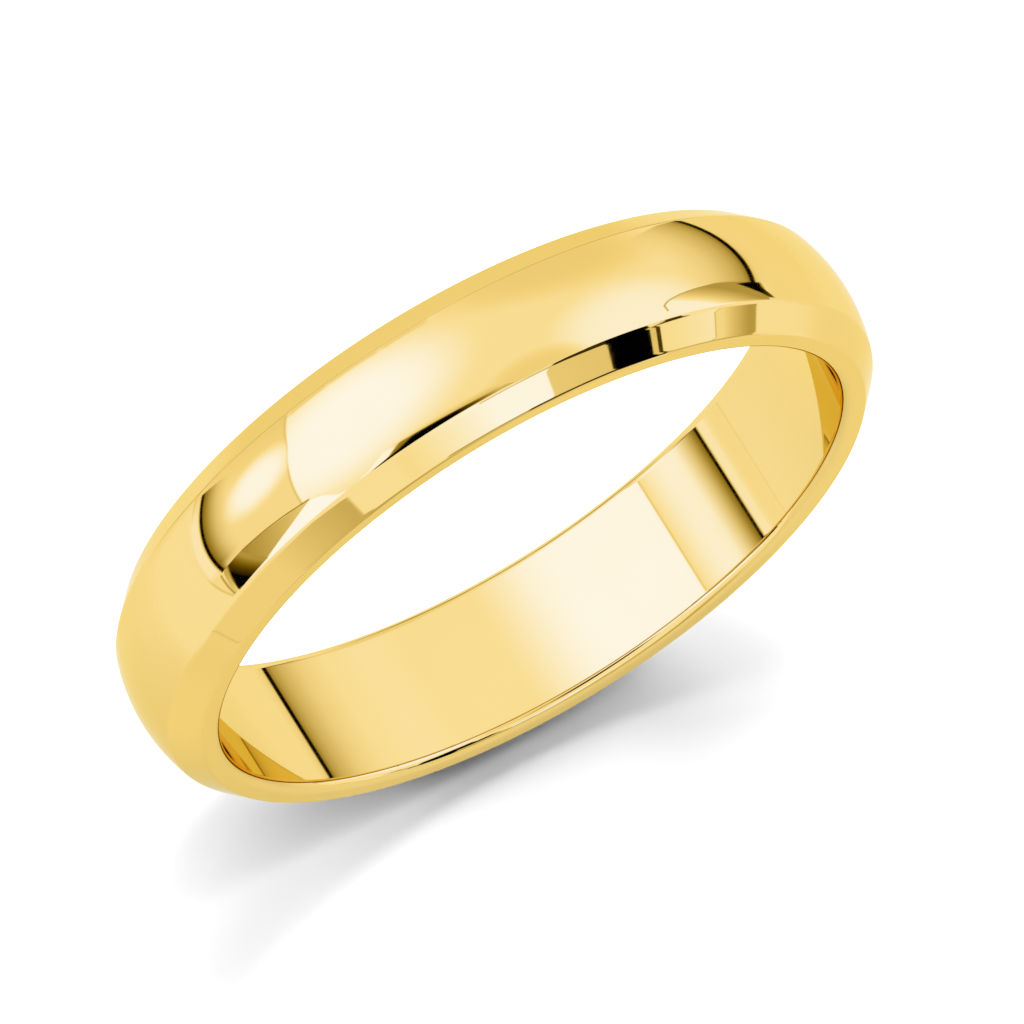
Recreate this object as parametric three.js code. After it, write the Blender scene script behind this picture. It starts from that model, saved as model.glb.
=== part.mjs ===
// A plain wedding band: a low domed crown, a flat bevel along each shoulder, a narrow flat side face,
// and a rounded inner edge that makes it comfortable to wear.
//
// Millimetres, +Z up. The band stands on its rim like a wheel. The origin is the centre of the finger
// hole, and the hole's axis lies along Y.

import * as THREE from 'three';

// Ring sizes in ISO 8653 are the inner circumference in millimetres.
const innerCircumference = 56;
const boreRadius = innerCircumference / (2 * Math.PI);

// The band's section. A thickness is measured outwards from the bore, a width along the finger.
const bandWidth = 4.0;
const crownWidth = 2.66;
const crownThickness = 1.42;
const shoulderThickness = 1.2;
const sideThickness = 0.6;
const innerEdgeRadius = 0.27;

// How finely the round shapes are divided.
const stepsAround = 96;
const stepsOnHalfCrown = 4;
const stepsOnInnerEdge = 3;

const yellowGold = new THREE.MeshStandardMaterial({
  name: 'yellow_gold',
  color: 0xf0cc7a,
  roughness: 0.06,
  metalness: 1.0,
});

// Points along a circular arc in the section's plane, where x is the radius from the hole's axis and
// y is the distance along it. Both ends are included.
function arcPoints(centre, radius, startAngle, endAngle, steps) {
  const points = [];
  for (let step = 0; step <= steps; step += 1) {
    const angle = startAngle + (endAngle - startAngle) * (step / steps);
    const x = centre.x + radius * Math.cos(angle);
    const y = centre.y + radius * Math.sin(angle);
    points.push(new THREE.Vector2(x, y));
  }
  return points;
}

// The crown from its middle to the shoulder: an arc through the crown's top and both shoulders.
function halfCrown() {
  const halfChord = crownWidth / 2;
  const rise = crownThickness - shoulderThickness;
  const radius = (halfChord ** 2 + rise ** 2) / (2 * rise);
  const centre = new THREE.Vector2(boreRadius + crownThickness - radius, 0);
  const shoulderAngle = Math.asin(halfChord / radius);
  return arcPoints(centre, radius, 0, shoulderAngle, stepsOnHalfCrown);
}

// The rounded edge from the flat side face down into the bore.
function innerEdge() {
  const centre = new THREE.Vector2(
    boreRadius + innerEdgeRadius,
    bandWidth / 2 - innerEdgeRadius,
  );
  return arcPoints(centre, innerEdgeRadius, Math.PI / 2, Math.PI, stepsOnInnerEdge);
}

// The outline on the +Y side, from the middle of the crown over the bevel and the side face to the bore.
function halfSection() {
  const bevelFoot = new THREE.Vector2(boreRadius + sideThickness, bandWidth / 2);
  return [...halfCrown(), bevelFoot, ...innerEdge()];
}

// The whole outline: the -Y side up to the crown, the +Y side back down to the bore, and along the
// bore to the first point again, which closes it.
function fullSection() {
  const positiveSide = halfSection();
  const negativeSide = positiveSide
    .slice(1)
    .map((point) => new THREE.Vector2(point.x, -point.y))
    .reverse();
  const outline = [...negativeSide, ...positiveSide];
  return [...outline, outline[0].clone()];
}

function makeBand() {
  const geometry = new THREE.LatheGeometry(fullSection(), stepsAround);
  const band = new THREE.Mesh(geometry, yellowGold);
  band.name = 'band';
  return band;
}

const weddingBand = new THREE.Group();
weddingBand.add(makeBand());

export default weddingBand;
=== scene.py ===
"""A polished gold wedding band, standing on its edge on a white table in a small photo studio.

Everything is in metres in the ring's own frame: the finger hole runs along Y, +Z is up.
"""

import math

import bpy
import numpy as np
from mathutils import Color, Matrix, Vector


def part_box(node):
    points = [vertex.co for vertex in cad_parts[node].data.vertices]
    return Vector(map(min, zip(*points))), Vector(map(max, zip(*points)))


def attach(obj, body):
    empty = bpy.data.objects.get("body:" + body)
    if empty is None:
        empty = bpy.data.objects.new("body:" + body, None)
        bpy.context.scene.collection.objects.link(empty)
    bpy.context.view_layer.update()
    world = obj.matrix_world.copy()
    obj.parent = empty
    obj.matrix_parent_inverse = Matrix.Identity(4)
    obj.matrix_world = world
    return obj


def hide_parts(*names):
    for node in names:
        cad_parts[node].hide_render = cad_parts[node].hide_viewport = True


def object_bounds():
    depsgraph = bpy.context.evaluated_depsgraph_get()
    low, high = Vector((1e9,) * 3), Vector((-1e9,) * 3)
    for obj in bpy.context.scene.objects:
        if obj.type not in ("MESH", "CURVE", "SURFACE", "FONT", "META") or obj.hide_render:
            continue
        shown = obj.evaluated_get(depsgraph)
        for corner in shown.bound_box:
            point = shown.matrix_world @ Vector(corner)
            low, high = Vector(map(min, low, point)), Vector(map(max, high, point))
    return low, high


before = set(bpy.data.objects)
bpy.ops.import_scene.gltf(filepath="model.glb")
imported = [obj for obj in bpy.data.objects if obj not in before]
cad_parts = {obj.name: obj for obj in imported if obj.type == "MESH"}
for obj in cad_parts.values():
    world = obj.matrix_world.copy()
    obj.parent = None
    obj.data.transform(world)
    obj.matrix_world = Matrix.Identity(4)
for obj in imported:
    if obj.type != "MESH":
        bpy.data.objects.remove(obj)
cad_low, cad_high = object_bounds()

MM = 0.001

# ---------------------------------------------------------------- sizes of the band
band_low, band_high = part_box("band")
band_points = [v.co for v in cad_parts["band"].data.vertices]

OUTER_RADIUS = band_high.z
BORE_RADIUS = min(math.hypot(p.x, p.z) for p in band_points)
HALF_WIDTH = band_high.y
CROWN_HALF_WIDTH = 1.33 * MM
SHOULDER_THICKNESS = 1.20 * MM
SIDE_THICKNESS = 0.60 * MM
SHOULDER_RADIUS = BORE_RADIUS + SHOULDER_THICKNESS
SIDE_RADIUS = BORE_RADIUS + SIDE_THICKNESS
INNER_EDGE = 0.27 * MM
SHOULDER_ROUNDING = 0.08 * MM
SIDE_ROUNDING = 0.07 * MM
# About where along the crown's arc the rounding of its shoulder begins.
CROWN_MEETS_ROUNDING = 0.9
# Polishing bends the bevel a little before each of its two edges.
BEND_ANGLE = math.radians(4)
BEND_FROM_EDGE = 0.085 * MM
BEND_LENGTH = 0.09 * MM

STEPS_AROUND = 720
CROWN_STEPS = 24
SHOULDER_STEPS = 4
BEND_STEPS = 4
SIDE_STEPS = 7
INNER_STEPS = 12

# ---------------------------------------------------------------- the view
VIEW_AZIMUTH = -29.62
VIEW_ELEVATION = 65.42
VIEW_WIDTH = 25.52 * MM
VIEW_RIGHT = 0.439 * MM
VIEW_UP = -0.150 * MM
CAMERA_DISTANCE = 0.5
CAMERA_NEAR = 0.01
CAMERA_FAR = 5.0


def direction(azimuth, elevation):
    """The unit vector towards a place round the ring: azimuth 0 is -Y, 90 is +X, in degrees."""
    a, e = math.radians(azimuth), math.radians(elevation)
    return Vector((math.sin(a) * math.cos(e), -math.cos(a) * math.cos(e), math.sin(e)))


# ---------------------------------------------------------------- the studio
# Gold's own colour, as the shares of red, green and blue light that it sends back.
GOLD_PALER = (0.950, 0.725, 0.300)
GOLD_DEEPER = (0.928, 0.691, 0.260)
GOLD = [(paler + deeper) / 2 for paler, deeper in zip(GOLD_PALER, GOLD_DEEPER)]
# Tones are what polished gold shows when it faces that light: 0 is black and WHITE_TONE is white.
# Up to GOLD_TONE its green is about the tone itself, its red leads and its blue lags behind.
# Above that gold pales evenly to white, and below DARK_TONE the red's lead shrinks to nothing.
WHITE_TONE = 255
GOLD_TONE = 216
DARK_TONE = 80
RED_LEAD = 32
GREEN_LAG = 1
BLUE_LAG = 88
# Between these tones the light runs straight.
RAMP_TONES = [0, 60, 90, 114, 136, 162, 186, 200, 211, 222, 234, 244, 250, WHITE_TONE]
BRIGHTEST_LIGHT = 4.0
# What the light loses before gold shows it by way of gold, and how much that evens its tones out.
TWICE_SHADE = (0.88, 0.94, 0.80)
TWICE_TONE = 200
TWICE_EVEN = 0.5
SKY_TONE = 221


def strip(points, wide, soft, tone):
    """Thin cards, end to end along (azimuth, elevation) points. Their width is in degrees too."""
    cards = []
    for (az_a, el_a), (az_b, el_b) in zip(points, points[1:]):
        squeeze = math.cos(math.radians((el_a + el_b) / 2))
        run, rise = (az_b - az_a) * squeeze, el_b - el_a
        half = wide / 2 / math.hypot(run, rise)
        side_az, side_el = -rise * half / squeeze, run * half
        corners = [
            (az_a + side_az, el_a + side_el), (az_b + side_az, el_b + side_el),
            (az_b - side_az, el_b - side_el), (az_a - side_az, el_a - side_el),
        ]
        cards.append(dict(corners=corners, soft=soft, tone=tone))
    return cards


# What the ring faces, as (azimuth, elevation) directions in degrees. Each card covers those before it.
# A spot fades out between its inner and outer angles, and soft is how wide the edge of other cards is.
# A tone may run from a start to an end, each (azimuth, elevation, tone), and a rim is a thin edge with
# its own width and tone.
CARDS = [
    # soft areas of the tent
    dict(spot=(-125, 47), inner=13, outer=45, tone=245),
    dict(spot=(84, 40), inner=6, outer=30, tone=238),
    dict(spot=(148, 24), inner=2, outer=30, tone=204),
    dict(spot=(44, 66), inner=6, outer=18, tone=207),
    # low wall at the back
    dict(corners=[(136, -62), (138, -4), (222, -4), (224, -62)], soft=9, tone=207),
    # low wall on the right
    dict(corners=[(68, -62), (70, -7), (138, -4), (140, -62)], soft=8, tone=213),
    # dark arch of the back opening
    *strip(
        [(140, -26), (146, -12), (154, 0), (164, 9), (172, 13), (184, 13), (192, 9), (200, 1),
         (206, -10), (210, -20), (210, -36)],
        wide=11, soft=4, tone=105,
    ),
    # gold-toned edge of the back wall beside the crown's far side
    *strip([(-144, 8), (-149, 16), (-157, 23), (-169, 30), (-182, 32)], wide=7, soft=2, tone=208),
    # low front wall
    dict(corners=[(-66, -66), (-54, -20), (-44, 4), (-34, 4), (-30, -66)], soft=7, tone=207),
    dict(corners=[(-34, -24), (-30, 9), (-8, 20), (8, 22), (34, 14), (44, -24)], soft=3,
         start=(-18, 12, 160), end=(8, -4, 203)),
    dict(corners=[(40, -46), (44, -4), (56, -6), (62, -46)], soft=7, tone=209),
    # left wall
    dict(corners=[(-152, -12), (-148, 19.5), (-130, 26.5), (-120, 31), (-110, 34), (-100, 35.6),
                  (-84.5, 37), (-82, -2)],
         soft=0.8, start=(-148, 12, 203), end=(-128, 12, 216), rim=(0.5, 185)),
    *strip([(-84.5, 37), (-80, 40), (-75, 43.5), (-69, 48)], wide=0.5, soft=0.5, tone=226),
    dict(spot=(-121.5, 18), inner=3, outer=15.5, tone=244),
    # white strip beside the dark panel
    dict(corners=[(-87, 2), (-87.1, 36.4), (-82, 38.2), (-66, 48), (-68, 3)], soft=0.9,
         start=(-75, 3, 222), end=(-75, 14, 246)),
    # dark panel, its outline, its black foot and the thin lines under that
    dict(corners=[(-95.6, 1.5), (-95, 10), (-93.4, 18), (-91, 26), (-88.8, 31), (-87.4, 34), (-86.8, 35.4),
                  (-84.5, 30.2), (-82.7, 25.2), (-81.6, 20), (-80.5, 14), (-79.8, 9), (-79.8, 0)],
         soft=0.5, start=(-83, 30, 196), end=(-91, 8, 135)),
    *strip([(-95.8, 1.5), (-95.2, 10), (-93.6, 18), (-91.2, 26), (-89, 31), (-87.1, 34.9)],
           wide=0.6, soft=0.4, tone=110),
    dict(corners=[(-95.8, 2.8), (-95.6, 9), (-79.9, 14), (-79.8, 2), (-82.3, 0.2)], soft=0.6,
         start=(-90, 9.5, 145), end=(-88, 3.4, 0)),
    dict(corners=[(-96, 2.2), (-82.2, -0.4), (-82.2, -1.4), (-95.5, 0.3)], soft=0.4,
         start=(-95, 2, 165), end=(-83, -1, 200)),
    *strip([(-95.5, -1.1), (-82, -1.6)], wide=0.7, soft=0.4, tone=150),
    # dark panel on the right and its black foot
    dict(corners=[(78, -8), (79, 29.3), (83.5, 29.5), (88, 30.3), (90.7, 28.5), (93.3, 24), (95.1, 18),
                  (96.6, 10), (97.6, -6)],
         soft=0.5, start=(84.5, 12, 238), end=(93.5, 9, 145)),
    *strip([(84, 29.5), (88, 30.4), (90.8, 28.6), (93.4, 24.1), (95.2, 18.1), (96.7, 10), (97.5, -2)],
           wide=0.5, soft=0.4, tone=150),
    dict(corners=[(95.7, 3.3), (96.9, -3.2), (96.7, -5.3), (92, -5.5), (92.3, -3)], soft=0.5, tone=0),
    dict(corners=[(94.5, -5.3), (90.2, -9.6), (89.9, -7.8), (92.3, -3.5)], soft=0.6,
         start=(93, -5, 0), end=(90, -9, 100)),
    # slot at the front of the roof, dark where the camera looks in
    dict(corners=[(-69, 60), (-64, 66), (24, 77), (28, 70), (28, 55), (-55, 50)], soft=6, tone=188),
    dict(corners=[(-67, 62.4), (28, 73.5), (28, 60), (-60, 50)], soft=0.8, tone=118),
    dict(corners=[(-60.5, 65.8), (28, 73.5), (28, 55), (-62, 50)], soft=1.4,
         start=(-27, 73, 0), end=(20, 74, 178)),
    dict(corners=[(-72, 58), (-67, 61), (-64, 57), (-62.5, 51), (-66, 45)], soft=0.6, tone=242),
    *strip([(-64.2, 62.4), (-63.4, 60.8), (-63.4, 58)], wide=0.6, soft=0.4, tone=110),
    # card at the front left
    dict(corners=[(-46, -4), (-40, 12), (-31.5, 15.2), (-25, 14), (-22, -4)], soft=0.8,
         start=(-44, 0, 207), end=(-28, 9, 170)),
    # light at the front top
    dict(corners=[(-20, 22), (-20, 34), (5, 40), (21.5, 31), (18, 22)], soft=0.3,
         start=(-14, 20, 218), end=(4, 30, 244)),
    dict(corners=[(17.6, 22), (21.3, 30.5), (33, 26), (36, 14), (20, 18)], soft=0.3,
         start=(20, 24, 200), end=(30, 20, 196)),
    # thin dark rail
    *strip([(-8, 22), (4, 22.4), (12, 21.8)], wide=2, soft=1, tone=130),
    *strip([(12, 21.8), (24, 18.8), (33, 14.8)], wide=3.2, soft=1, tone=35),
    # dark line above it that widens towards the flag
    *strip([(2, 35), (12, 34.5), (20, 32.8), (26, 30.4)], wide=1.5, soft=1, tone=150),
    dict(corners=[(23, 32), (35, 22.5), (44, 34), (34, 42)], soft=1, tone=30),
    # black flag
    dict(corners=[(33.8, 21.5), (40.5, 32), (44, 12), (41.3, 5), (31.6, 13.2)], soft=0.3, tone=0),
    dict(corners=[(42, 12), (37, 38), (46, 44), (50, 38), (49, 24)], soft=0.3, tone=0),
    # right of the flag: a gold edge, a thin dark line, a light card and a darker one
    dict(corners=[(42.6, 16), (52, 16), (52, 2), (40.3, 8.5)], soft=0.2, tone=195),
    dict(corners=[(43.8, 15), (52, 15), (52, 2), (41.5, 8)], soft=0.2, tone=40),
    dict(corners=[(44.8, 14.6), (57, 3), (52, -3), (42.4, 8)], soft=0.2,
         start=(44, 11, 219), end=(53.5, 1, 228)),
    dict(corners=[(50, -1.7), (57, 0.6), (62, -9.5), (60, -11), (56.6, -11.8)], soft=0.2,
         start=(54.5, -2, 214), end=(59, -9, 150), rim=(0.35, 180)),
    # under the two cards
    dict(corners=[(41, 6.6), (50.6, -5), (57, -14.5), (52, -20), (36, -4)], soft=0.3, tone=204),
    *strip([(41.2, 6.8), (50.4, -4.6), (56.2, -12.6)], wide=1.2, soft=0.6, tone=150),
    *strip([(-55, -23.8), (-47, -25.3)], wide=0.6, soft=0.4, tone=192),
]

# The straight gap along the back of the table: y and z where it passes x = 0, and its slopes along x.
GAP_Y = 42.66 * MM
GAP_Z = -2.50 * MM
GAP_Y_SLOPE = 0.1174
GAP_Z_SLOPE = -0.0531
# Bands across the gap: angle above its middle as the ring sees it in degrees, tone, cover.
GAP_LEFT = [
    (-9, 217, 0), (-6, 220, 0.7), (-4, 228, 1), (-1.4, 228, 1), (-0.75, 180, 1), (-0.42, 0, 1), (0.35, 0, 1),
    (0.75, 105, 1), (3, 150, 1), (6, 182, 0.7), (11, 212, 0),
]
GAP_RIGHT = [
    (-8, 212, 0), (-3, 210, 0.8), (-1.3, 196, 1), (-0.8, 70, 1), (-0.55, 0, 1), (0.6, 0, 1),
    (1.1, 125, 1), (3, 155, 1), (6, 176, 1), (13, 200, 0.8), (24, 213, 0),
]
# The dark middle runs to both ends. The bands above it fade out over the last few steps, and the bands
# under it over the first few too.
GAP_HALF_ANGLE = 1.0
GAP_STEPS = 28
GAP_FADE_STEPS = 5
GAP_LEFT_ENDS = (-42 * MM, -200 * MM)
GAP_RIGHT_ENDS = (57 * MM, 40000 * MM)

# How bright the table looks where nothing shades it, how much light it sends back, and how bright the
# room behind it looks.
TABLE_LIGHT = 1.9
TABLE_ALBEDO = 0.85
BACKDROP = 1.0
# The table's tones in the metal, at two places on it, darker towards the front as painted shade, and how far
# from the ring it melts into the walls.
TABLE_PAINTED_FRONT = (-4 * MM, -20 * MM, 204)
TABLE_PAINTED_BACK = (0 * MM, 6 * MM, 219)
TABLE_MELTS = (26 * MM, 39 * MM)
TABLE_SHADOW_IN_METAL = 0.35
TABLE_NEAR_RADIUS = 40 * MM
TABLE_RADIUS = 3.0
TABLE_STEPS = 96
LAMP_DISTANCE = 0.3
# Each soft lamp: azimuth, elevation, how wide it looks in degrees, its share of the light on the table.
LAMPS = [
    ("lamp_back_left", -162, 30, 35, 0.12),
    ("lamp_left", -108, 30, 20, 0.10),
    ("lamp_back_low", 144, 30, 20, 0.15),
    ("lamp_back_high", 144, 54, 20, 0.12),
    ("lamp_roof", 144, 72, 20, 0.22),
    ("lamp_right", 72, 36, 35, 0.17),
    ("lamp_right_back", 90, 36, 20, 0.12),
]


# ---------------------------------------------------------------- node helpers
def math_node(tree, operation, a, b):
    node = tree.nodes.new("ShaderNodeMath")
    node.operation = operation
    for socket, value in zip(node.inputs, (a, b)):
        if isinstance(value, (int, float)):
            socket.default_value = value
        else:
            tree.links.new(value, socket)
    return node.outputs[0]


def dot_node(tree, vector, constant):
    node = tree.nodes.new("ShaderNodeVectorMath")
    node.operation = "DOT_PRODUCT"
    tree.links.new(vector, node.inputs[0])
    node.inputs[1].default_value = constant
    return node.outputs["Value"]


def range_node(tree, value, low, high, to_low=0.0, to_high=1.0, smooth=False):
    node = tree.nodes.new("ShaderNodeMapRange")
    node.interpolation_type = "SMOOTHSTEP" if smooth else "LINEAR"
    # A smooth step stays between its ends by itself, and Cycles has no room to clamp so many cards.
    node.clamp = not smooth
    tree.links.new(value, node.inputs["Value"])
    node.inputs["From Min"].default_value = low
    node.inputs["From Max"].default_value = high
    node.inputs["To Min"].default_value = to_low
    node.inputs["To Max"].default_value = to_high
    return node.outputs[0]


def mix_numbers(tree, share, a, b):
    node = tree.nodes.new("ShaderNodeMix")
    node.data_type = "FLOAT"
    tree.links.new(share, node.inputs[0])
    for socket, value in zip((node.inputs[2], node.inputs[3]), (a, b)):
        if isinstance(value, (int, float)):
            socket.default_value = value
        else:
            tree.links.new(value, socket)
    return node.outputs[0]


def mix_shaders(tree, share, a, b):
    node = tree.nodes.new("ShaderNodeMixShader")
    if isinstance(share, float):
        node.inputs[0].default_value = share
    else:
        tree.links.new(share, node.inputs[0])
    tree.links.new(a.outputs[0], node.inputs[1])
    tree.links.new(b.outputs[0], node.inputs[2])
    return node


def second_look(tree):
    """1 where light reaches gold by way of gold, 0 where it comes straight."""
    path = tree.nodes.new("ShaderNodeLightPath")
    return range_node(tree, path.outputs["Glossy Depth"], 1, 2)


def mix_colours(tree, share, a, b, blend="MIX"):
    node = tree.nodes.new("ShaderNodeMix")
    node.data_type = "RGBA"
    node.blend_type = blend
    tree.links.new(share, node.inputs[0])
    for socket, value in zip((node.inputs[6], node.inputs[7]), (a, b)):
        if isinstance(value, tuple):
            socket.default_value = (*value, 1)
        else:
            tree.links.new(value, socket)
    return node.outputs[2]


def shown_colour(tone):
    """The red, green and blue that polished gold shows at a tone, from 0 to WHITE_TONE."""
    full = min(tone, GOLD_TONE)
    red = full + RED_LEAD * min(1, tone / DARK_TONE)
    colour = (red, max(0, full - GREEN_LAG), max(0, full - BLUE_LAG))
    pale = max(0, tone - GOLD_TONE) / (WHITE_TONE - GOLD_TONE)
    return [c + (WHITE_TONE - c) * pale for c in colour]


def tone_light(tone):
    """The light that a surface of a tone sends, before gold tints it."""
    shown = Color([c / WHITE_TONE for c in shown_colour(tone)]).from_srgb_to_scene_linear()
    return [c / gold for c, gold in zip(shown, GOLD)]


def tone_ramp(tree, tone):
    """The light of a tone, over BRIGHTEST_LIGHT."""
    ramp = tree.nodes.new("ShaderNodeValToRGB")
    elements = ramp.color_ramp.elements
    while len(elements) < len(RAMP_TONES):
        elements.new(0.5)
    for element, at in zip(elements, RAMP_TONES):
        element.position = at / WHITE_TONE
        element.color = [c / BRIGHTEST_LIGHT for c in tone_light(at)] + [1]
    twice = second_look(tree)
    tone = mix_numbers(tree, math_node(tree, "MULTIPLY", twice, TWICE_EVEN), tone, TWICE_TONE)
    tree.links.new(math_node(tree, "DIVIDE", tone, WHITE_TONE), ramp.inputs[0])
    return mix_colours(tree, twice, ramp.outputs["Color"], TWICE_SHADE, "MULTIPLY")


def new_object(name, points, faces, material):
    mesh = bpy.data.meshes.new(name)
    mesh.from_pydata(points, [], faces)
    mesh.materials.append(material)
    obj = bpy.data.objects.new(name, mesh)
    bpy.context.scene.collection.objects.link(obj)
    return obj


# ---------------------------------------------------------------- the studio's walls
def card_cover(tree, heading, card, grow=0.0):
    """How much of a card is seen along a heading, from 0 to 1."""
    if "spot" in card:
        edge, middle = math.cos(math.radians(card["outer"])), math.cos(math.radians(card["inner"]))
        return range_node(tree, dot_node(tree, heading, direction(*card["spot"])), edge, middle, smooth=True)
    corners = [direction(*c) for c in card["corners"]]
    middle = sum(corners, Vector())
    half_soft = math.sin(math.radians(card["soft"])) / 2
    grown = math.sin(math.radians(grow))
    cover = None
    for a, b in zip(corners, corners[1:] + corners[:1]):
        inward = a.cross(b).normalized()
        if inward.dot(middle) < 0:
            inward = -inward
        inside = range_node(
            tree, dot_node(tree, heading, inward), -half_soft - grown, half_soft - grown, smooth=True
        )
        cover = inside if cover is None else math_node(tree, "MULTIPLY", cover, inside)
    return cover


def card_tone(tree, heading, card):
    """A card's tone along a heading: it runs evenly from its start to its end."""
    if "tone" in card:
        return card["tone"]
    (*start, start_tone), (*end, end_tone) = card["start"], card["end"]
    a, b = direction(*start), direction(*end)
    run = b - a
    return range_node(tree, dot_node(tree, heading, run), a.dot(run), b.dot(run), start_tone, end_tone)


def make_studio_walls():
    world = bpy.data.worlds.new("studio")
    bpy.context.scene.world = world
    world.use_nodes = True
    tree = world.node_tree
    tree.nodes.clear()
    heading = tree.nodes.new("ShaderNodeTexCoord").outputs["Generated"]
    tone = SKY_TONE
    for card in CARDS:
        if "rim" in card:
            rim_width, rim_tone = card["rim"]
            tone = mix_numbers(tree, card_cover(tree, heading, card, rim_width), tone, rim_tone)
        tone = mix_numbers(tree, card_cover(tree, heading, card), tone, card_tone(tree, heading, card))
    walls = tree.nodes.new("ShaderNodeBackground")
    tree.links.new(tone_ramp(tree, tone), walls.inputs["Color"])
    walls.inputs["Strength"].default_value = BRIGHTEST_LIGHT
    backdrop = tree.nodes.new("ShaderNodeBackground")
    backdrop.inputs["Color"].default_value = (BACKDROP, BACKDROP, BACKDROP, 1)
    nothing = tree.nodes.new("ShaderNodeBackground")
    nothing.inputs["Strength"].default_value = 0
    path = tree.nodes.new("ShaderNodeLightPath")
    # The walls show only in polished metal that is seen directly. The lamps alone light the table.
    seen_direct = math_node(tree, "LESS_THAN", path.outputs["Diffuse Depth"], 0.5)
    in_metal = math_node(tree, "MULTIPLY", path.outputs["Is Glossy Ray"], seen_direct)
    surroundings = mix_shaders(tree, in_metal, nothing, walls)
    surroundings = mix_shaders(tree, path.outputs["Is Camera Ray"], surroundings, backdrop)
    output = tree.nodes.new("ShaderNodeOutputWorld")
    tree.links.new(surroundings.outputs[0], output.inputs["Surface"])


# ---------------------------------------------------------------- the gap behind the table
def gap_material():
    material = bpy.data.materials.new("table_gap")
    material.use_nodes = True
    material.cycles.emission_sampling = "NONE"
    tree = material.node_tree
    tree.nodes.clear()
    tone = tree.nodes.new("ShaderNodeAttribute")
    tone.attribute_name = "tone"
    cover = tree.nodes.new("ShaderNodeAttribute")
    cover.attribute_name = "cover"
    light = tree.nodes.new("ShaderNodeEmission")
    tree.links.new(tone_ramp(tree, tone.outputs["Fac"]), light.inputs["Color"])
    light.inputs["Strength"].default_value = BRIGHTEST_LIGHT
    clear = tree.nodes.new("ShaderNodeBsdfTransparent")
    covered = mix_shaders(tree, cover.outputs["Fac"], clear, light)
    output = tree.nodes.new("ShaderNodeOutputMaterial")
    tree.links.new(covered.outputs[0], output.inputs["Surface"])
    return material


def only_in_reflections(obj):
    obj.visible_camera = False
    obj.visible_diffuse = False
    obj.visible_transmission = False
    obj.visible_volume_scatter = False
    obj.visible_shadow = False


def make_gap(name, ends, bands, material):
    """A standing strip along the gap between two x values, with its bands' tones across it."""
    near, far = ends
    points, tones, covers = [], [], []
    for i in range(GAP_STEPS + 1):
        x = near * (far / near) ** (i / GAP_STEPS)
        y = GAP_Y + GAP_Y_SLOPE * x
        z = GAP_Z + GAP_Z_SLOPE * x
        away = math.hypot(x, y)
        for angle, tone, cover in bands:
            ends_in = GAP_STEPS - i if angle > 0 else min(i, GAP_STEPS - i)
            fade = 1 if abs(angle) < GAP_HALF_ANGLE else min(ends_in, GAP_FADE_STEPS) / GAP_FADE_STEPS
            points.append((x, y, z + away * math.tan(math.radians(angle))))
            tones.append(tone)
            covers.append(cover * fade)
    across = len(bands)
    faces = [
        (i * across + j, (i + 1) * across + j, (i + 1) * across + j + 1, i * across + j + 1)
        for i in range(GAP_STEPS)
        for j in range(across - 1)
    ]
    obj = new_object(name, points, faces, material)
    obj.data.attributes.new("tone", "FLOAT", "POINT").data.foreach_set("value", tones)
    obj.data.attributes.new("cover", "FLOAT", "POINT").data.foreach_set("value", covers)
    only_in_reflections(obj)


# ---------------------------------------------------------------- table and lamps
def painted_table_in_metal(tree):
    """How the table shows in polished gold: a painted glow with painted shade that darkens it towards the
    front, mixed with a little of its real shading from the lamps, and melting into the walls.
    """
    place = tree.nodes.new("ShaderNodeTexCoord").outputs["Object"]
    (*front, front_tone), (*back, back_tone) = TABLE_PAINTED_FRONT, TABLE_PAINTED_BACK
    front, back = Vector((*front, 0)), Vector((*back, 0))
    run = (back - front).normalized()
    along = dot_node(tree, place, run)
    tone = range_node(tree, along, front.dot(run), back.dot(run), front_tone, back_tone)
    light = tone_ramp(tree, tone)
    shade = tree.nodes.new("ShaderNodeVectorMath")
    shade.operation = "SCALE"
    shade.inputs["Scale"].default_value = BRIGHTEST_LIGHT * TABLE_ALBEDO / TABLE_LIGHT
    tree.links.new(light, shade.inputs[0])
    shaded = tree.nodes.new("ShaderNodeBsdfDiffuse")
    tree.links.new(shade.outputs[0], shaded.inputs["Color"])
    # Painted light: in the metal the table glows by itself, in its painted tones.
    even = tree.nodes.new("ShaderNodeEmission")
    even.inputs["Strength"].default_value = BRIGHTEST_LIGHT
    tree.links.new(light, even.inputs["Color"])
    toned = mix_shaders(tree, TABLE_SHADOW_IN_METAL, even, shaded)
    flat = tree.nodes.new("ShaderNodeVectorMath")
    flat.operation = "MULTIPLY"
    flat.inputs[1].default_value = (1, 1, 0)
    tree.links.new(place, flat.inputs[0])
    away = tree.nodes.new("ShaderNodeVectorMath")
    away.operation = "LENGTH"
    tree.links.new(flat.outputs[0], away.inputs[0])
    gone = range_node(tree, away.outputs["Value"], *TABLE_MELTS, smooth=True)
    return mix_shaders(tree, gone, toned, tree.nodes.new("ShaderNodeBsdfTransparent"))


def table_material():
    material = bpy.data.materials.new("white_table")
    material.use_nodes = True
    material.cycles.emission_sampling = "NONE"
    tree = material.node_tree
    tree.nodes.clear()
    path = tree.nodes.new("ShaderNodeLightPath")
    # The lamps light the white table and the ring shades it. Light that it scatters once is not used again.
    white = (TABLE_ALBEDO, TABLE_ALBEDO, TABLE_ALBEDO)
    by_way_of_table = range_node(tree, path.outputs["Diffuse Depth"], 0, 1)
    lit = tree.nodes.new("ShaderNodeBsdfDiffuse")
    tree.links.new(mix_colours(tree, by_way_of_table, white, (0, 0, 0)), lit.inputs["Color"])
    directly = range_node(tree, path.outputs["Diffuse Depth"], 0, 1, 1, 0)
    # In polished metal the table shows its painted glow and painted shade instead.
    in_view = math_node(tree, "MULTIPLY", path.outputs["Is Glossy Ray"], directly)
    either = mix_shaders(tree, in_view, lit, painted_table_in_metal(tree))
    output = tree.nodes.new("ShaderNodeOutputMaterial")
    tree.links.new(either.outputs[0], output.inputs["Surface"])
    return material


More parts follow.
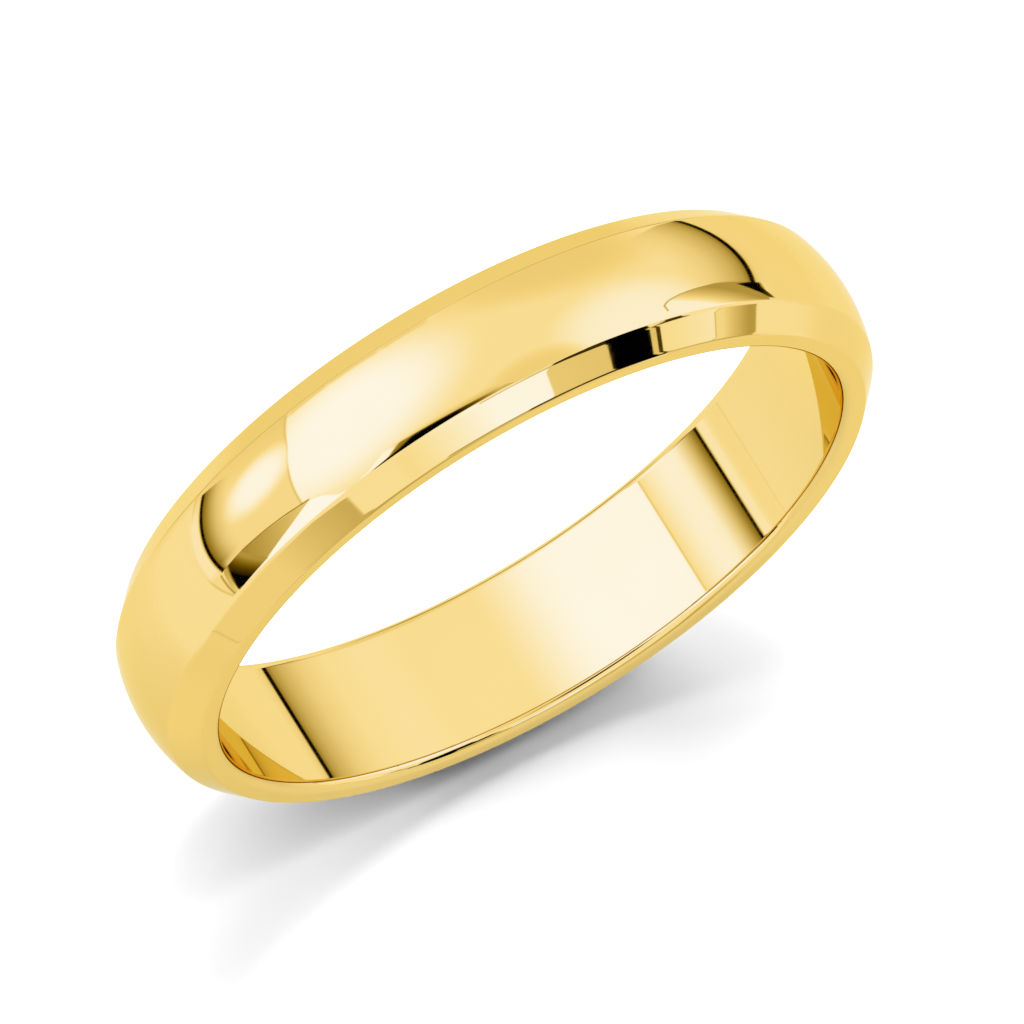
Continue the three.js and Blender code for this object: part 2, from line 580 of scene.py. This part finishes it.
def make_disc(name, inner, outer, material):
    """A flat disc at the ring's foot, with a round hole in it if inner isn't 0."""
    z = cad_low.z
    points = []
    for radius in (inner, outer):
        for i in range(TABLE_STEPS):
            a = 2 * math.pi * i / TABLE_STEPS
            points.append((radius * math.cos(a), radius * math.sin(a), z))
    if inner == 0:
        points, faces = points[TABLE_STEPS:], [tuple(range(TABLE_STEPS))]
    else:
        faces = []
        for i in range(TABLE_STEPS):
            after = (i + 1) % TABLE_STEPS
            faces.append((i, TABLE_STEPS + i, TABLE_STEPS + after, after))
    disc = new_object(name, points, faces, material)
    return disc


def make_table():
    material = table_material()
    make_disc("table_near", 0, TABLE_NEAR_RADIUS, material)
    # Further out the reflections show the studio's own tones.
    far = make_disc("table_far", TABLE_NEAR_RADIUS, TABLE_RADIUS, material)
    far.visible_glossy = False


def make_lamps():
    for name, azimuth, elevation, width, share in LAMPS:
        towards = direction(azimuth, elevation)
        lamp = bpy.data.lights.new(name, "SUN")
        lamp.energy = share * TABLE_LIGHT * math.pi / (TABLE_ALBEDO * towards.z)
        lamp.angle = math.radians(width)
        obj = bpy.data.objects.new(name, lamp)
        obj.rotation_mode = "QUATERNION"
        obj.rotation_quaternion = towards.to_track_quat("Z", "Y")
        obj.location = towards * LAMP_DISTANCE
        obj.visible_glossy = False
        bpy.context.scene.collection.objects.link(obj)


# ---------------------------------------------------------------- the band
def arc(centre, radius, start, end, steps):
    """Points and outward normals along an arc in the profile plane, both ends included."""
    points = []
    for i in range(steps + 1):
        a = start + (end - start) * i / steps
        normal = (math.cos(a), math.sin(a))
        points.append(((centre[0] + radius * normal[0], centre[1] + radius * normal[1]), normal))
    return points


def rounded_corner(before, corner, after, radius, steps):
    """An arc that takes a convex corner's place and runs smoothly into both its sides."""
    p, q, r = (np.array(v) for v in (before, corner, after))
    to_p = (p - q) / np.linalg.norm(p - q)
    to_r = (r - q) / np.linalg.norm(r - q)
    half_angle = math.acos(float(to_p @ to_r)) / 2
    middle = (to_p + to_r) / np.linalg.norm(to_p + to_r)
    centre = q + middle * radius / math.sin(half_angle)
    reach = radius / math.tan(half_angle)
    start_point, end_point = q + to_p * reach, q + to_r * reach
    start = math.atan2(*(start_point - centre)[::-1])
    turn = math.atan2(*(end_point - centre)[::-1]) - start
    turn = (turn + math.pi) % (2 * math.pi) - math.pi
    return arc(centre, radius, start, start + turn, steps)


def turned(vector, angle):
    s, c = math.sin(angle), math.cos(angle)
    return np.array((vector[0] * c - vector[1] * s, vector[0] * s + vector[1] * c))


def bend(before, corner, after):
    """The gentle arc over BEND_LENGTH at a bend in the bevel."""
    return rounded_corner(before, corner, after, BEND_LENGTH / 2 / math.tan(BEND_ANGLE / 2), BEND_STEPS)


def half_profile():
    """(radius, y) points with normals, from the middle of the crown round to the middle of the bore."""
    rise = OUTER_RADIUS - SHOULDER_RADIUS
    crown_radius = (CROWN_HALF_WIDTH**2 + rise**2) / (2 * rise)
    crown_centre = (OUTER_RADIUS - crown_radius, 0)
    crown_angle = math.asin(CROWN_HALF_WIDTH / crown_radius)
    shoulder = np.array((SHOULDER_RADIUS, CROWN_HALF_WIDTH))
    side_edge = np.array((SIDE_RADIUS, HALF_WIDTH))
    down = (side_edge - shoulder) / np.linalg.norm(side_edge - shoulder)
    upper_bend = shoulder + down * BEND_FROM_EDGE
    lower_bend = side_edge - down * BEND_FROM_EDGE
    shoulder = upper_bend - turned(down, -BEND_ANGLE) * BEND_FROM_EDGE
    last = turned(down, BEND_ANGLE)
    side_edge = lower_bend + last * (HALF_WIDTH - lower_bend[1]) / last[1]
    inner_edge = (BORE_RADIUS + INNER_EDGE, HALF_WIDTH)
    before_shoulder = arc(crown_centre, crown_radius, 0, crown_angle * CROWN_MEETS_ROUNDING, 1)[-1][0]
    shoulder_arc = rounded_corner(before_shoulder, shoulder, upper_bend, SHOULDER_ROUNDING, SHOULDER_STEPS)
    meets = math.atan2(shoulder_arc[0][0][1], shoulder_arc[0][0][0] - crown_centre[0])
    crown = arc(crown_centre, crown_radius, 0, meets, CROWN_STEPS)
    upper_arc = bend(shoulder, upper_bend, lower_bend)
    lower_arc = bend(upper_bend, lower_bend, side_edge)
    side_arc = rounded_corner(lower_bend, side_edge, inner_edge, SIDE_ROUNDING, SIDE_STEPS)
    edge_centre = (BORE_RADIUS + INNER_EDGE, HALF_WIDTH - INNER_EDGE)
    edge = arc(edge_centre, INNER_EDGE, math.pi / 2, math.pi, INNER_STEPS)
    return crown[:-1] + shoulder_arc + upper_arc + lower_arc + side_arc + edge


def make_band(material):
    half = half_profile()
    mirrored = [((r, -y), (nr, -ny)) for (r, y), (nr, ny) in half[1:]]
    profile = mirrored[::-1] + half
    count = len(profile)
    points, normals = [], []
    for i in range(STEPS_AROUND):
        a = 2 * math.pi * i / STEPS_AROUND
        s, c = math.sin(a), math.cos(a)
        for (r, y), (nr, ny) in profile:
            points.append((r * s, y, r * c))
            normals.append((nr * s, ny, nr * c))
    faces = []
    for i in range(STEPS_AROUND):
        here, there = i * count, (i + 1) % STEPS_AROUND * count
        for j in range(count):
            k = (j + 1) % count
            faces.append((here + j, there + j, there + k, here + k))
    band = new_object("gold_band", points, faces, material)
    band.data.shade_smooth()
    band.data.normals_split_custom_set_from_vertices(normals)
    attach(band, "root")
    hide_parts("band")


# ---------------------------------------------------------------- polished gold
# Tints the metal where it is seen almost edge on, so that its rims stay gold.
GOLD_EDGE = (0.98, 0.89, 0.58)
# How fine each pattern is, as noise scales per metre.
CLOUDS_SCALE = 260
PATCHES_SCALE = 700
WAVES_SCALE = 320
HAIRLINES_SCALE = 9000
HAIRLINES_DRAWN_OUT = 0.08
WAVES_HEIGHT = 0.8e-6
HAIRLINES_HEIGHT = 0.015e-6
POLISH_RANGE = (0.7, 1.3)
ROUGHNESS_RANGE = (0.02, 0.045)


def band_coordinates(tree, around=1):
    """Object coordinates, in which noise is drawn out around the band if around is below 1."""
    coordinates = tree.nodes.new("ShaderNodeTexCoord")
    mapping = tree.nodes.new("ShaderNodeMapping")
    mapping.inputs["Scale"].default_value = (around, 1, around)
    tree.links.new(coordinates.outputs["Object"], mapping.inputs["Vector"])
    return mapping.outputs["Vector"]


def noise(tree, vector, scale, detail=2.0):
    node = tree.nodes.new("ShaderNodeTexNoise")
    node.inputs["Scale"].default_value = scale
    node.inputs["Detail"].default_value = detail
    tree.links.new(vector, node.inputs["Vector"])
    return node.outputs["Fac"]


def bump(tree, height, size, normal=None):
    node = tree.nodes.new("ShaderNodeBump")
    node.inputs["Distance"].default_value = size
    tree.links.new(height, node.inputs["Height"])
    if normal is not None:
        tree.links.new(normal, node.inputs["Normal"])
    return node.outputs["Normal"]


def gold_material():
    material = bpy.data.materials.new("polished_yellow_gold")
    material.use_nodes = True
    tree = material.node_tree
    shader = tree.nodes["Principled BSDF"]
    shader.inputs["Metallic"].default_value = 1.0
    shader.inputs["Specular Tint"].default_value = (*GOLD_EDGE, 1)
    plain = band_coordinates(tree)
    drawn_out = band_coordinates(tree, HAIRLINES_DRAWN_OUT)
    # colour: the alloy is a touch paler and deeper over a few millimetres
    clouds = noise(tree, plain, CLOUDS_SCALE)
    colour = mix_colours(tree, clouds, GOLD_PALER, GOLD_DEEPER)
    tree.links.new(colour, shader.inputs["Base Color"])
    # polish: hairlines from the mop run around the band, and some patches are brighter than others
    hairlines = noise(tree, drawn_out, HAIRLINES_SCALE, detail=3)
    patches = noise(tree, plain, PATCHES_SCALE)
    polish = math_node(tree, "ADD", hairlines, patches)
    roughness = range_node(tree, polish, *POLISH_RANGE, *ROUGHNESS_RANGE)
    tree.links.new(roughness, shader.inputs["Roughness"])
    # surface: slow waves left by buffing, under the hairlines
    waves = noise(tree, plain, WAVES_SCALE, detail=1)
    waved = bump(tree, waves, WAVES_HEIGHT)
    scratched = bump(tree, hairlines, HAIRLINES_HEIGHT, waved)
    tree.links.new(scratched, shader.inputs["Normal"])
    return material


# ---------------------------------------------------------------- camera
def make_camera():
    back = direction(VIEW_AZIMUTH, VIEW_ELEVATION)
    right = Vector((math.cos(math.radians(VIEW_AZIMUTH)), math.sin(math.radians(VIEW_AZIMUTH)), 0))
    up = back.cross(right)
    camera = bpy.data.objects.new("camera", bpy.data.cameras.new("camera"))
    camera.data.type = "ORTHO"
    camera.data.ortho_scale = VIEW_WIDTH
    camera.data.clip_start = CAMERA_NEAR
    camera.data.clip_end = CAMERA_FAR
    camera.location = right * VIEW_RIGHT + up * VIEW_UP + back * CAMERA_DISTANCE
    camera.rotation_mode = "QUATERNION"
    camera.rotation_quaternion = (-back).to_track_quat("-Z", "Y")
    bpy.context.scene.collection.objects.link(camera)
    bpy.context.scene.camera = camera


bpy.context.scene.view_settings.view_transform = "Standard"
make_camera()
make_studio_walls()
gap = gap_material()
make_gap("gap_left", GAP_LEFT_ENDS, GAP_LEFT, gap)
make_gap("gap_right", GAP_RIGHT_ENDS, GAP_RIGHT, gap)
make_table()
make_lamps()
make_band(gold_material())
